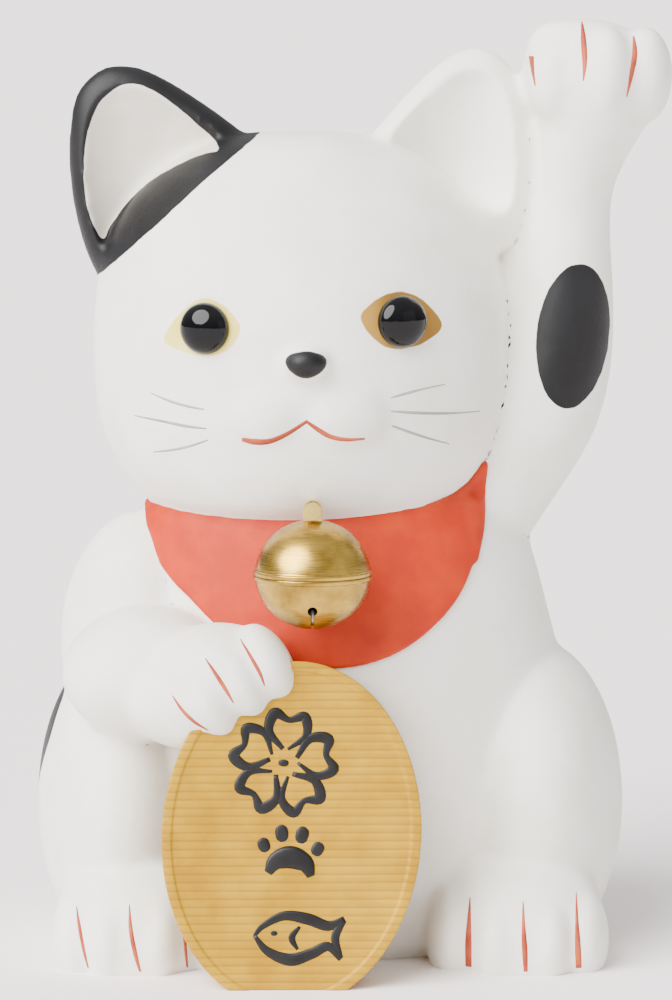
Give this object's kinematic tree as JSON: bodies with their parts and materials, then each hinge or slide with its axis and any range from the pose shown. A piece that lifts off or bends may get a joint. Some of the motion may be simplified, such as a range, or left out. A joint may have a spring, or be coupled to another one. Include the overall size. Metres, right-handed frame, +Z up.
{
  "type": "beckoning cat figurine",
  "caption": "Seated beckoning cat figurine with raised left paw, oval gold coin, red bib, hanging brass bell, glass eyes, coin slot and rubber stopper.",
  "frame": {"origin": "on the table, at the middle of the cat's overall width and depth", "axes": "+X to the cat's left (the raised paw), +Y to its back (the cat faces -Y), +Z up"},
  "size_m": [0.1602, 0.146, 0.2356],
  "materials": {
    "white_earthenware": "matte white brush paint over slip-cast earthenware, with painted black and grey-cream patches",
    "red_earthenware": "matte orange-red paint with a thin dark edge line",
    "gold_earthenware": "satin gold paint with fine horizontal brush striations",
    "black_glass": "polished black glass domes",
    "satin_brass": "spun sheet brass, satin, with fine horizontal turning lines",
    "brass_wire": "drawn brass rod with a riveted head",
    "steel_ball": "plain steel ball, dull",
    "grey_rubber": "moulded soft rubber, matte"
  },
  "bodies": {
    "cat": {"body_casting": "white_earthenware", "head_casting": "white_earthenware", "raised_arm": "white_earthenware", "holding_arm": "white_earthenware", "tail": "white_earthenware", "bib": "red_earthenware", "koban": "gold_earthenware", "left_eye": "black_glass", "right_eye": "black_glass", "bell_pin": "brass_wire"},
    "bell": {"bell_upper_shell": "satin_brass", "bell_lower_shell": "satin_brass", "bell_loop": "satin_brass"},
    "pellet": {"bell_pellet": "steel_ball"},
    "stopper": {"stopper": "grey_rubber"}
  },
  "joints": [
    {"name": "bell_swing", "type": "hinge", "parent": "cat", "child": "bell", "pos_m": [-0.0083, -0.05828, 0.117], "axis": [0, 1, 0], "range_deg": [-70, 70]},
    {"name": "pellet_roll", "type": "hinge", "parent": "bell", "child": "pellet", "pos_m": [-0.0083, -0.05828, 0.101], "axis": [0, 1, 0], "continuous": true},
    {"name": "stopper_pull", "type": "slide", "parent": "cat", "child": "stopper", "axis": [0, 0, -1], "range_m": [0, 0.02]}
  ]
}
